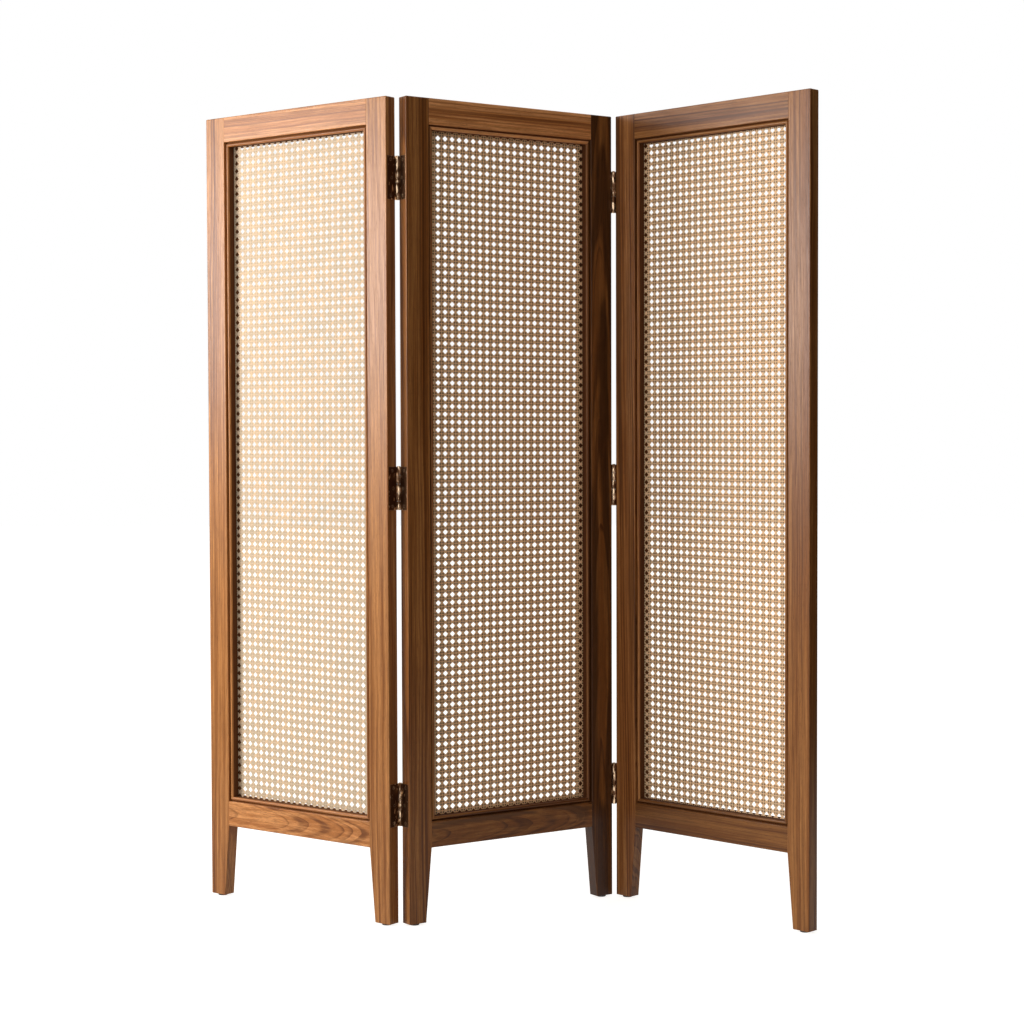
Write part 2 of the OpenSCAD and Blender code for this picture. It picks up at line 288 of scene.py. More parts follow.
def bevel(bm, edges, radius, segments, clamp=False):
    """Rounds edges. clamp keeps the rounds from crossing each other."""
    bmesh.ops.bevel(
        bm, geom=edges, offset=radius, offset_type="OFFSET", segments=segments, profile=0.5,
        affect="EDGES", material=-1, clamp_overlap=clamp
    )


def ease(bm, radius, chosen, segments=3):
    """Rounds the sharp edges whose two ends a test picks."""
    edges = [
        e for e in bm.edges
        if e.is_manifold and e.calc_face_angle() > SHARP and all(chosen(v.co) for v in e.verts)
    ]
    bevel(bm, edges, radius, segments)


def add_object(name, data):
    """Adds an object to the scene."""
    made = bpy.data.objects.new(name, data)
    bpy.context.scene.collection.objects.link(made)
    return made


def cut_out(bm, cutter):
    """Cuts one closed mesh out of another."""
    made = []
    for name, source in (("blank", bm), ("cutter", cutter)):
        mesh = bpy.data.meshes.new(name)
        source.to_mesh(mesh)
        made.append(add_object(name, mesh))
    blank, tool = made
    cut = blank.modifiers.new("cut", "BOOLEAN")
    cut.operation = "DIFFERENCE"
    cut.solver = "EXACT"
    cut.object = tool
    result = bpy.data.meshes.new_from_object(
        blank.evaluated_get(bpy.context.evaluated_depsgraph_get())
    )
    bm.clear()
    bm.from_mesh(result)
    bpy.data.meshes.remove(result)
    for item in made:
        bpy.data.meshes.remove(item.data)
    cutter.free()


# How much of the base tone each panel's boards keep, in the order of SIDES: heartwood is darker
BOARD_TONES = {
    "first": (0.84, 0.8, 1.12, 1.12), "second": (0.66, 0.5, 1.45, 0.57), "third": (0.85, 0.64, 0.62, 0.45),
}

# Boards sawn flat and close to the pith, so that their figure is arched
CATHEDRAL = ("first_bottom_rail", "second_bottom_rail", "second_right_stile")

# Boards with near-black bands of heartwood, with how dark and how broad the bands are
BANDED = {
    "second_right_stile": (0.9, 0.56), "third_left_stile": (0.8, 0.38), "second_bottom_rail": (0.7, 0.32),
    "first_bottom_rail": (0.4, 0.25),
}

# A common board's place in its log is drawn from these ranges, in this order: its turn about the pith in
# degrees, its distance from the pith, its lean in degrees and its shift aside
COMMON_CUT = ((-35, 35), (0.07, 0.15), (-0.8, 0.8), (-0.03, 0.03))

# The same four for a cathedral board that runs along X or Z
CATHEDRAL_CUT = {0: (90, 0.035, 5, 0), 2: (90, 0.035, 1.3, 0)}

# How far up or down its log a board's middle may be
LOG_REACH = 40

# How strongly a board's tone acts on red, green and blue: dark boards are redder
TINT_POWERS = (1, 1.12, 1.5)


def lay_in_log(mesh, name, along, tone=1.0, cathedral=False, banded=(0, 0), shaded_depths=None):
    """Gives each point its place in the log that its board was sawn from, with the pith up the log's Z,
    and the board's tint. A cathedral board is sawn flat, close to the pith and at a lean. banded is how
    dark and how broad its bands are, and the last argument is a range of depth whose points get painted
    shade, standing for the shadow in the recess beside the webbing."""
    rng = random.Random(name)
    upright = {0: Matrix.Rotation(math.radians(-90), 4, "Y"), 2: Matrix.Identity(4)}[along]
    cut = CATHEDRAL_CUT[along] if cathedral else [rng.uniform(*span) for span in COMMON_CUT]
    turn, away, lean, aside = cut
    place = (
        Matrix.Translation((away, aside, rng.uniform(-LOG_REACH, LOG_REACH)))
        @ Matrix.Rotation(math.radians(lean), 4, "Y")
        @ Matrix.Rotation(math.radians(turn), 4, "Z")
        @ upright
    )
    points = np.empty(len(mesh.vertices) * 3, np.float32)
    mesh.vertices.foreach_get("co", points)
    points = points.reshape(-1, 3)
    middle = (points.min(0) + points.max(0)) / 2
    placed = (points - middle) @ np.array(place.to_3x3()).T + np.array(place.translation)
    for layer, values in (
        ("board", placed.astype(np.float32).ravel()),
        ("tint", [tone ** power for power in TINT_POWERS] * len(points)),
        ("bands", [*banded, 0] * len(points)),
    ):
        mesh.attributes.new(layer, "FLOAT_VECTOR", "POINT").data.foreach_set("vector", values)
    # Painted shade: points in the given range of depth are marked to be darkened, as if the recess were in
    # shadow
    recess_shade = mesh.attributes.new("recess_shade", "FLOAT", "POINT")
    if shaded_depths is not None:
        within = (points[:, 1] > shaded_depths[0]) & (points[:, 1] < shaded_depths[1])
        recess_shade.data.foreach_set("value", within.astype(np.float32))


def make_piece(bm, name, body, finish, nodes, place, board=None, smooth=40, weigh=True):
    """Turns a mesh in a panel's plan into a piece that rides on a body and stands for CAD nodes.
    Edges bent by less than smooth degrees are shaded smooth, and weigh leans the shading of each corner
    towards its largest face."""
    bmesh.ops.recalc_face_normals(bm, faces=bm.faces[:])
    for face in bm.faces:
        face.smooth = True
    for edge in bm.edges:
        edge.smooth = edge.is_manifold and edge.calc_face_angle() < math.radians(smooth)
    mesh = bpy.data.meshes.new(name)
    bm.to_mesh(mesh)
    bm.free()
    if board is not None:
        lay_in_log(mesh, name, **board)
    mesh.transform(place)
    mesh.materials.append(finish)
    piece = add_object(name, mesh)
    if weigh:
        weighted = piece.modifiers.new("normals", "WEIGHTED_NORMAL")
        weighted.keep_sharp = True
    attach(piece, body)
    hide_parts(*nodes)
    return piece


# Stiles and rails


def stile(hinge_side, right):
    """A stile with its outer edge at x = 0, tapered inside below the rail, or its mirror image on the
    panel's right. hinge_side is 1 where leaves are let in from behind, -1 from the front, 0 for none."""
    s, h = bpy.context.scene.screen_frame, bpy.context.scene.screen_hinges
    glide_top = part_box("first_left_stile")[0].z
    sill, head = s.leg + s.rail, s.height - s.rail
    outer = s.corner_round + NEAR
    bm = bmesh.new()
    box(bm, (0, 0, glide_top), (s.stile, s.thick, s.height))
    for z in (s.leg, sill, head):
        split(bm, 2, z)
    for v in bm.verts:
        if on(v.co.z, glide_top) and v.co.x > NEAR:
            v.co.x = s.foot
    ease(bm, s.corner_round, lambda p: on(p.x, 0) and on(p.z, s.height), 6)
    inner_edges = (
        (sill, head, s.inner_round, 3), (s.leg, sill, s.joint_round, 1), (head, s.height, s.joint_round, 1)
    )
    for y in (0, s.thick):
        ease(bm, s.outer_round, lambda p: on(p.y, y) and (p.x < outer or on(p.z, s.height)))
        ease(bm, s.inner_round, lambda p: on(p.y, y) and p.x > s.foot - NEAR and p.z < s.leg + NEAR)
        for low, high, radius, segments in inner_edges:
            ease(
                bm, radius, lambda p: on(p.y, y) and on(p.x, s.stile) and low - NEAR < p.z < high + NEAR,
                segments
            )
    ease(bm, s.inner_round / 2, lambda p: on(p.z, glide_top), 2)
    cutter = bmesh.new()
    tenon_y = (s.thick - s.tenon_thick) / 2
    for z in (s.leg, head):
        box(
            cutter,
            (s.stile - s.tenon - s.play, tenon_y - s.play, z + s.shoulder - s.play),
            (s.stile + s.play, s.thick - tenon_y + s.play, z + s.rail - s.shoulder + s.play),
        )
    if hinge_side:
        margin = h.bed_margin - s.play
        front, back = (margin, s.thick + STAND_OUT) if hinge_side > 0 else (-STAND_OUT, s.thick - margin)
        for level in LEVELS:
            low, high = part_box(f"first_fold_{level}_left_leaf")
            box(cutter, (-STAND_OUT, front, low.z - s.play), (h.bed_depth, back, high.z + s.play))
    cut_out(bm, cutter)
    if right:
        bmesh.ops.scale(bm, vec=(-1, 1, 1), verts=bm.verts[:])
        bmesh.ops.translate(bm, vec=(s.width, 0, 0), verts=bm.verts[:])
    return bm


def rail(top):
    """A rail at its height, with its tenons, its outer edges rounded and its opening edge eased."""
    s = bpy.context.scene.screen_frame
    low = s.height - s.rail if top else s.leg
    high = low + s.rail
    outer, inner = (high, low) if top else (low, high)
    ends = (s.stile, s.width - s.stile)
    bm = bmesh.new()
    box(bm, (ends[0], 0, low), (ends[1], s.thick, high))
    for y in (0, s.thick):
        ease(bm, s.outer_round, lambda p: on(p.y, y) and on(p.z, outer))
        ease(bm, s.inner_round, lambda p: on(p.y, y) and on(p.z, inner))
    for x, out in zip(ends, (-1, 1)):
        ease(bm, s.joint_round, lambda p: on(p.x, x), 1)
        end_faces = [f for f in bm.faces if abs(f.normal.x) > 0.99 and on(f.calc_center_median().x, x)]
        face = max(end_faces, key=lambda f: f.calc_area())
        bmesh.ops.inset_individual(bm, faces=[face], thickness=s.shoulder / 2)
        centre = Vector((x, s.thick / 2, (low + high) / 2))
        half_y, half_z = s.tenon_thick / 2, s.rail / 2 - s.shoulder
        for v in face.verts:
            v.co.y = centre.y + math.copysign(half_y, v.co.y - centre.y)
            v.co.z = centre.z + math.copysign(half_z, v.co.z - centre.z)
        grown = bmesh.ops.extrude_discrete_faces(bm, faces=[face])["faces"]
        bmesh.ops.translate(bm, vec=(out * s.tenon, 0, 0), verts=grown[0].verts)
    bmesh.ops.remove_doubles(bm, verts=bm.verts[:], dist=0.000001)
    return bm


class FOLDING_SCREEN_OT_frames(bpy.types.Operator):
    """Make the stiles and rails of the three panels"""

    bl_idname = "folding_screen.frames"
    bl_label = "Stiles and rails"

    def execute(self, context):
        wood = walnut()
        for i, panel in enumerate(PANELS):
            place = panel_place(i)
            for k, side in enumerate(SIDES):
                if side in LEVEL_SIDES:
                    bm, part, along = rail(side == "top"), "rail", 0
                else:
                    bm, part, along = stile(KNUCKLES[i][k], side == "right"), "stile", 2
                node = f"{panel}_{side}_{part}"
                board = {
                    "along": along, "tone": BOARD_TONES[panel][k], "cathedral": node in CATHEDRAL,
                    "banded": BANDED.get(node, (0, 0)),
                }
                make_piece(bm, f"walnut.{node}", f"{panel}_panel", wood, [node], place,
                           board=board)
        return {"FINISHED"}


# Beads and stops


# How far behind the nose the painted shade on a bead's side begins, so that the webbing's edge stays dark as
# if in shadow
SHADE_START = 0.0008


def strip(bm, run, gap, slope):
    """Makes a strip along +X with mitred ends of a closed loop of edges in the plane X = 0, where Y is
    the depth and Z the distance from the frame's edge. slope is 1 at an even mitre."""
    face = bmesh.ops.contextual_create(bm, geom=bm.edges[:])["faces"][0]
    grown = bmesh.ops.extrude_face_region(bm, geom=[face])["geom"]
    far = [v for v in grown if isinstance(v, bmesh.types.BMVert)]
    for v in bm.verts:
        v.co.x = gap + v.co.z * slope
    for v in far:
        v.co.x = run - gap - v.co.z * slope


def outline(start, centre, angle, steps, rest):
    """A closed loop in the plane X = 0: an arc that ends at its highest point, and then the corners."""
    bm = bmesh.new()
    first = bm.verts.new((0, *start))
    bmesh.ops.spin(
        bm, geom=[first], cent=(0, *centre), axis=(1, 0, 0), dvec=(0, 0, 0), angle=angle, steps=steps,
        use_merge=False
    )
    last = max(bm.verts, key=lambda v: v.co.z)
    loop = [last, *(bm.verts.new((0, *corner)) for corner in rest), first]
    for pair in zip(loop, loop[1:]):
        bm.edges.new(pair)
    return bm


def bead_section(level):
    """A flat quirk and a half-round nose that stands out to the front, and the slope of its mitre.
    The bead is the same on level and upright sides."""
    t = bpy.context.scene.screen_trim
    radius = (t.bead - t.quirk) / 2
    depth = t.set_back + radius
    rest = (
        (depth + SHADE_START, t.bead), (t.cane_front, t.bead), (t.cane_front, 0), (t.quirk_depth, 0),
        (t.quirk_depth, t.quirk)
    )
    return outline((depth, t.quirk), (depth, t.quirk + radius), -math.pi, 12, rest), 1


def stop_section(level):
    """A flat strip with its inner rear edge rounded, and the slope of its mitre. The mitre isn't even,
    because a level stop is narrower than an upright one."""
    s, t = bpy.context.scene.screen_frame, bpy.context.scene.screen_trim
    width, other = (t.rail_stop, t.stop) if level else (t.stop, t.rail_stop)
    back = s.thick - t.stop_set
    front = back - t.stop_thick
    inner = width - t.stop_round
    rest = ((front, width), (front, 0), (back, 0))
    return outline((back, inner), (back - t.stop_round, inner), math.pi / 2, 4, rest), other / width


def side_place(side):
    """The matrix that lays a strip, drawn along the opening's lower edge, on one of its four sides."""
    s = bpy.context.scene.screen_frame
    sill, head = s.leg + s.rail, s.height - s.rail
    along, inward, start = {
        "bottom": ((1, 0, 0), (0, 0, 1), (s.stile, 0, sill)),
        "top": ((1, 0, 0), (0, 0, -1), (s.stile, 0, head)),
        "left": ((0, 0, 1), (1, 0, 0), (s.stile, 0, sill)),
        "right": ((0, 0, 1), (-1, 0, 0), (s.width - s.stile, 0, sill)),
    }[side]
    rows = [(along[k], (0, 1, 0)[k], inward[k], start[k]) for k in range(3)]
    return Matrix(rows + [(0, 0, 0, 1)])


class FOLDING_SCREEN_OT_trim(bpy.types.Operator):
    """Make the beads in front of the cane and the stops behind it"""

    bl_idname = "folding_screen.trim"
    bl_label = "Beads and stops"

    def execute(self, context):
        s, t = context.scene.screen_frame, context.scene.screen_trim
        wood = walnut()
        # Where the painted shade lies on each kind of strip: on a bead's quirk and side behind its nose, and
        # on a stop's front behind the webbing
        nose_end = t.set_back + (t.bead - t.quirk) / 2 + SHADE_START / 2
        kinds = (
            ("bead", bead_section, (nose_end, t.cane_front + NEAR)),
            ("stop", stop_section, (0, s.thick - t.stop_set - t.stop_thick + NEAR)),
        )
        for i, panel in enumerate(PANELS):
            place = panel_place(i)
            for k, side in enumerate(SIDES):
                level = side in LEVEL_SIDES
                run = s.width - 2 * s.stile if level else s.height - 2 * s.rail - s.leg
                for kind, section, shaded_depths in kinds:
                    bm, slope = section(level)
                    strip(bm, run, s.play, slope)
                    bmesh.ops.transform(bm, matrix=side_place(side), verts=bm.verts[:])
                    node = f"{panel}_{side}_{kind}"
                    board = {
                        "along": 0 if level else 2, "tone": BOARD_TONES[panel][k], "shaded_depths": shaded_depths,
                    }
                    make_piece(bm, f"walnut.{node}", f"{panel}_panel", wood, [node], place,
                               board=board)
        return {"FINISHED"}


# Cane


def strand(stations, width, thick):
    """A strand along +Z through stations of height and depth: crowned in front, flat behind.
    Its flank layer is 0 on the crown and 1 on the split edges and the back."""
    crown = ((0.42, 0.5), (0.5, -0.1), (0, -0.5), (-0.5, -0.1), (-0.42, 0.5))
    bm = bmesh.new()
    flank = bm.verts.layers.float.new("flank")
    low, high = stations[0][0], stations[-1][0]
    bmesh.ops.create_cone(
        bm, cap_ends=True, segments=5, radius1=width, radius2=width, depth=high - low,
        matrix=Matrix.Translation((0, 0, (low + high) / 2))
    )
    long_edges = [e for e in bm.edges if abs(e.verts[0].co.z - e.verts[1].co.z) > (high - low) / 2]
    bmesh.ops.subdivide_edges(bm, edges=long_edges, cuts=len(stations) - 2, use_grid_fill=True)
    step = (high - low) / (len(stations) - 1)
    for v in bm.verts:
        height, depth = stations[round((v.co.z - low) / step)]
        corner = round(math.atan2(v.co.x, v.co.y) / (2 * math.pi / 5)) % 5
        x, y = crown[corner]
        v.co = (x * width, depth + y * thick, height)
        v[flank] = abs(x) > 0
    return bm


def tip(template, angle):
    """Turns an upright strand about Y."""
    bmesh.ops.rotate(
        template, cent=(0, 0, 0), matrix=Matrix.Rotation(angle, 3, "Y"), verts=template.verts[:]
    )


# How much the strands of one layer differ in tone
TONE_SPAN = 0.35


def weave(template_sets, rng, jitter, least):
    """Copies each template strand to its places and gives every copy a tone and a small stray.
    template_sets holds (template, list of moves). least is the lowest tone."""
    bm = bmesh.new()
    tone = bm.verts.layers.float.new("tone")
    for template, moves in template_sets:
        mesh = bpy.data.meshes.new("strand")
        template.to_mesh(mesh)
        template.free()
        for move, aside in moves:
            start = len(bm.verts)
            bm.from_mesh(mesh)
            bm.verts.ensure_lookup_table()
            fresh = bm.verts[start:]
            stray = Vector(aside) * rng.uniform(-jitter, jitter)
            bmesh.ops.translate(bm, vec=Vector(move) + stray, verts=fresh)
            own_tone = rng.uniform(least, least + TONE_SPAN)
            for v in fresh:
                v[tone] = own_tone
        bpy.data.meshes.remove(mesh)
    return bm


def trim(bm, low, high):
    """Cuts the strands off at the edges of the sheet and closes their ends."""
    for axis in (0, 2):
        for place, sign in ((low[axis], -1), (high[axis], 1)):
            cut = split(bm, axis, place, sign, clear=True)
            edges = [e for e in cut if isinstance(e, bmesh.types.BMEdge)]
            bmesh.ops.holes_fill(bm, edges=edges, sides=8)


# How each panel's webbing lies, in the panel's plan: the pitch of its holes and the middle of one
# hole, both along X and Z; how far it leans and tilts from square; how its rows close up towards the
# top, as every sheet was stretched a little differently; the places of any extra pairs along its edge;
# the least tone of its strands, higher where they are warmer and brighter, which also paints light:
# cooler and paler on the first panel for the lamp's sheen, warmer and brighter on the second for light
# from behind; and how strongly painted shade darkens the corners of its holes
CANE_LAY = (
    {
        "pitch": (0.01648, 0.016615), "hole": (0.0705, 0.876), "lean": 0.0037, "tilt": -0.0045,
        "close": 0.0000039, "edge_pairs": (), "warmth_and_painted_light": -0.1, "corner_shade": 0.3,
    },
    {
        "pitch": (0.01732, 0.016313), "hole": (0.0865, 0.891), "lean": 0.0036, "tilt": -0.0030,
        "close": 0.0000015, "edge_pairs": (0.0735,), "warmth_and_painted_light": 0.8, "corner_shade": 0.95,
    },
    {
        "pitch": (0.01624, 0.016320), "hole": (0.0865, 0.940), "lean": -0.0022, "tilt": -0.0045,
        "close": 0.0000062, "edge_pairs": (), "warmth_and_painted_light": 0.42, "corner_shade": 0.9,
    },
)

# How much warmer the slanting strands are than the others
SLANT_WARMTH = 0.1

# The noise by which the weave wanders: a seed, so that it is the same at each run, how often it changes
# in a metre, and how far apart the panels' parts of it are
WANDER_SEED, WANDER_RATE, WANDER_STEP = 1, 8, 3.7


def cane_sheets(index):
    """The webbing's four layers: upright pairs, level pairs and the two slants."""
    scene = bpy.context.scene
    s, t, c = scene.screen_frame, scene.screen_trim, scene.screen_cane
    lay = CANE_LAY[index]
    pitch_x, pitch_z = lay["pitch"]
    hole_x, hole_z = lay["hole"]
    low = Vector((s.stile + c.gap, 0, s.leg + s.rail + c.gap))
    high = Vector((s.width - s.stile - c.gap, 0, s.height - s.rail - c.gap))
    middle = t.cane_front + t.cane_thick / 2
    rng = random.Random(PANELS[index])

    def laid(x, z):
        """Where a point of the even weave lies on the stretched sheet."""
        row = (z - hole_z) / pitch_z
        return (
            x + lay["lean"] * (z - hole_z),
            z + lay["tilt"] * (x - s.width / 2) - lay["close"] * row * row,
        )

    def pairs(hole, pitch, start, end):
        """The places of the pairs between two edges, with two more beyond each."""
        first = hole - pitch / 2 - pitch * math.ceil((hole - pitch / 2 - start) / pitch + 2)
        count = math.ceil((end - first) / pitch) + 3
        return [first + pitch * k for k in range(count)]

    columns = pairs(hole_x, pitch_x, low.x, high.x)
    rows = pairs(hole_z, pitch_z, low.z, high.z)

    def run(places, pitch, sign):
        """Stations of a strand that passes before and behind the two strands of each pair."""
        stations = []
        for p in places:
            stations += [
                (p - c.spread, middle - sign * c.rise),
                (p + c.spread, middle + sign * c.rise),
                (p + pitch / 2, middle),
            ]
        return stations

    def inside(axis, x, z):
        """Whether a pair through a point lies clear of the sheet's edges across an axis."""
        margin = c.spread + c.strand / 2
        place = laid(x, z)[axis // 2]
        return low[axis] + margin < place < high[axis] - margin

    uprights, levels = [], []
    for sign in (1, -1):
        places = [x for x in columns if inside(0, x, low.z) and inside(0, x, high.z)]
        places += lay["edge_pairs"]
        uprights.append((
            strand(run(rows, pitch_z, sign), c.strand, c.thick),
            [((x - sign * c.spread, 0, 0), (1, 0, 0)) for x in places],
        ))
        template = strand(run(columns, pitch_x, -sign), c.strand, c.thick)
        tip(template, math.pi / 2)
        places = [z for z in rows if inside(2, s.width / 2, z)]
        levels.append((template, [((0, 0, z - sign * c.spread), (0, 0, 1)) for z in places]))
    sheets = {
        # Each panel's least tone also paints light: cooler, paler strands on the first panel for the lamp's
        # sheen, and warmer, brighter ones on the second for light from behind
        "upright": weave(uprights, rng, c.jitter, lay["warmth_and_painted_light"]),
        "level": weave(levels, rng, c.jitter, lay["warmth_and_painted_light"]),
    }
    angle = math.atan2(pitch_x, pitch_z)
    half = math.hypot(pitch_x, pitch_z) / 2
    reach = len(columns)
    for name, way in (("slant_up", 1), ("slant_down", -1)):
        stations = []
        for k in range(2 * reach + 1):
            depth = middle + (2 * c.rise if (k % 2 == 0) == (way > 0) else -2 * c.rise)
            stations += [(k * half - c.flat, depth), (k * half + c.flat, depth)]
        template = strand(stations, c.slant, c.thick)
        tip(template, way * angle)
        aside = Vector((pitch_z, 0, -way * pitch_x)).normalized()
        x = columns[0] if way > 0 else columns[-1]
        moves = []
        for k in range(-reach - 1, len(rows) + reach + 1):
            z = rows[0] + pitch_z / 2 + pitch_z * k
            if z < high.z + 2 * pitch_z and z + reach * pitch_z > low.z - pitch_z:
                moves.append(((x, 0, z), aside))
        sheets[name] = weave([(template, moves)], rng, c.jitter, lay["warmth_and_painted_light"] + SLANT_WARMTH)
    for bm in sheets.values():
        lattice = bm.verts.layers.float_vector.new("lattice")
        for v in bm.verts:
            # The lattice's middle value carries how strongly painted shade darkens the holes' corners
            v[lattice] = ((v.co.x - hole_x) / pitch_x, lay["corner_shade"], (v.co.z - hole_z) / pitch_z)
            spot = Vector((v.co.x * WANDER_RATE, index * WANDER_STEP, v.co.z * WANDER_RATE))
            wander = noise.noise_vector(spot) * c.slack
            x, z = laid(v.co.x, v.co.z)
            v.co.x, v.co.z = x + wander.x, z + wander.z
        trim(bm, low, high)
    return sheets


class FOLDING_SCREEN_OT_cane(bpy.types.Operator):
    """Weave the cane of the three panels"""

    bl_idname = "folding_screen.cane"
    bl_label = "Cane webbing"

    def execute(self, context):
        noise.seed_set(WANDER_SEED)
        finish = cane_finish()
        for i, panel in enumerate(PANELS):
            for layer, bm in cane_sheets(i).items():
                make_piece(bm, f"cane.{panel}.{layer}", f"{panel}_panel", finish,
                           [f"{panel}_cane"], panel_place(i), smooth=75, weigh=False)
        return {"FINISHED"}


# Hinges and glides


# Radius round a fold's axis within which its knuckles lie
KNUCKLE_REACH = 0.0045


def softened(node, radius, axis=None):
    """A copy of a CAD node's mesh, joined up and with its sharp edges rounded. Its barrel layer is 1
    within the knuckles' reach of an axis in plan."""
    bm = bmesh.new()
    bm.from_mesh(frame["nodes"][node].data)
    bmesh.ops.remove_doubles(bm, verts=bm.verts[:], dist=0.000002)
    bmesh.ops.dissolve_limit(
        bm, angle_limit=math.radians(2), verts=bm.verts[:], edges=bm.edges[:], delimit={"NORMAL"}
    )
    sharp = math.radians(50)
    edges = [e for e in bm.edges if e.is_manifold and e.calc_face_angle() > sharp]
    bevel(bm, edges, radius, 2, clamp=True)
    if axis is not None:
        barrel = bm.verts.layers.float.new("barrel")
        for v in bm.verts:
            v[barrel] = (v.co.xy - axis).length < KNUCKLE_REACH
    return bm


class FOLDING_SCREEN_OT_hinges(bpy.types.Operator):
    """Make the leaves, pins and screws of the six butt hinges"""

    bl_idname = "folding_screen.hinges"
    bl_label = "Butt hinges"

    def execute(self, context):
        h = context.scene.screen_hinges
        finish = bronze_finish()
        for f, fold in enumerate(FOLDS):
            bodies = {"left": f"{PANELS[f]}_panel", "right": f"{PANELS[f + 1]}_panel"}
            rows = [
                (f"{fold}_{level}_{side}_leaf", body, h.leaf_round)
                for level in LEVELS for side, body in bodies.items()
            ]
            rows += [(f"{fold}_{side}_screws", body, h.screw_round) for side, body in bodies.items()]
            rows.append((f"{fold}_pins", frame["nodes"][f"{fold}_pins"]["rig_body"], h.leaf_round))
            axis = Vector(frame["joints"][f]["pos_m"][:2])
            for node, body, radius in rows:
                make_piece(softened(node, radius, axis), f"bronze.{node}", body, finish,
                           [node], Matrix.Identity(4), smooth=45)
        return {"FINISHED"}


class FOLDING_SCREEN_OT_glides(bpy.types.Operator):
    """Make the nail-on glides under the feet"""

    bl_idname = "folding_screen.glides"
    bl_label = "Glides"

    def execute(self, context):
        radius = context.scene.screen_hinges.glide_round
        finish = glide_finish()
        for panel in PANELS:
            node = f"{panel}_glides"
            make_piece(softened(node, radius), f"plastic.{node}", f"{panel}_panel", finish,
                       [node], Matrix.Identity(4), smooth=45)
        return {"FINISHED"}


# Finishes


class Nodes:
    """Short ways to add nodes to a tree."""

    def __init__(self, tree):
        self.tree = tree

    def join(self, source, socket):
        """Links a node's output to a socket, or sets a plain value on it."""
        if isinstance(source, bpy.types.NodeSocket):
            self.tree.links.new(source, socket)
        else:
            socket.default_value = source

    def node(self, kind, inputs, **settings):
        """Adds a node, sets or links its inputs and returns its first output."""
        made = self.tree.nodes.new("ShaderNode" + kind)
        for key, value in settings.items():
            setattr(made, key, value)
        for key, value in inputs.items():
            self.join(value, made.inputs[key])
        return made.outputs[0]

    def outputs(self, kind, inputs, **settings):
        """Adds a node and returns all its outputs."""
        return self.node(kind, inputs, **settings).node.outputs

    def attribute(self, name, output):
        """One output of an attribute that the mesh carries."""
        return self.outputs("Attribute", {}, attribute_name=name)[output]

    def math(self, operation, a, b=0.0):
        """A sum, product or the like of two values."""
        return self.node("Math", {0: a, 1: b}, operation=operation)

    def summed(self, *terms):
        """The sum of values, each given with its weight."""
        total = None
        for value, weight in terms:
            part = value if weight == 1 else self.math("MULTIPLY", value, weight)
            total = part if total is None else self.math("ADD", total, part)
        return total

    def vector(self, operation, a, b=(0, 0, 0), output="Vector"):
        """A sum, product or the like of two vectors, or the length of one as the output Value."""
        return self.outputs("VectorMath", {0: a, 1: b}, operation=operation)[output]

    def parts(self, vector):
        """A vector's X, Y and Z."""
        return self.outputs("SeparateXYZ", {0: vector})

    def ranged(self, value, low, high, to_low=0.0, to_high=1.0):
        """A value moved smoothly from one range to another."""
        return self.node(
            "MapRange", {"Value": value, 1: low, 2: high, 3: to_low, 4: to_high},
            interpolation_type="SMOOTHSTEP"
        )

    def stretched_noise(self, place, scale, detail, rough, output=0):
        """Noise on a place that is scaled by three factors first."""
        inputs = {
            "Vector": self.vector("MULTIPLY", place, scale), "Scale": 1.0, "Detail": detail,
            "Roughness": rough,
        }
        return self.outputs("TexNoise", inputs)[output]

    def line_noise(self, place, scale, detail):
        """Noise along a single value."""
        return self.node(
            "TexNoise", {"W": place, "Scale": scale, "Detail": detail}, noise_dimensions="1D"
        )

    def mixed(self, factor, a, b, blend="MIX"):
        """Two colours mixed by a factor, through the Mix node's colour sockets."""
        return self.outputs("Mix", {0: factor, 6: a, 7: b}, data_type="RGBA", blend_type=blend)[2]


class Finish(Nodes):
    """A material with its shader."""

    def __init__(self, name):
        self.material = bpy.data.materials.new(name)
        self.material.use_nodes = True
        super().__init__(self.material.node_tree)
        self.shader = self.tree.nodes["Principled BSDF"]

    def put(self, name, source):
        """Joins a node's output or a plain value to one of the shader's inputs."""
        self.join(source, self.shader.inputs[name])

    def bump(self, height, distance, strength):
        """Puts a height on the shader as bump."""
        inputs = {"Height": height, "Distance": distance, "Strength": strength}
        self.put("Normal", self.node("Bump", inputs))


def rgba(value, factor=1.0):
    """A colour property with full opacity, made darker or lighter by a factor."""
    return (*(x * factor for x in value), 1.0)


# Waves in a log: how often they come across and along it, and how far they shift its rings, in metres
WAVES = (((7, 7, 1.7), 0.018), ((38, 38, 7), 0.003))

# Growth rings in a metre of radius, and by how many rings their spacing strays
RINGS, RING_STRAY = 130.0, 4.0

# How often the grain's noise changes in a metre, across and along the wood
BROAD, STREAK, FIBRE, PORES = (30, 30, 0.8), (150, 150, 2.2), (480, 480, 14), (1500, 1500, 70)


def waved(f, board):
    """A board's place in a log whose rings waver."""
    log = board
    for scale, reach in WAVES:
        sway = f.stretched_noise(board, scale, 2.0, 0.5, output="Color")
        shift = f.vector("SUBTRACT", sway, (0.5, 0.5, 0.5))
        log = f.vector("ADD", log, f.vector("MULTIPLY", shift, (reach, reach, 0)))
    return log


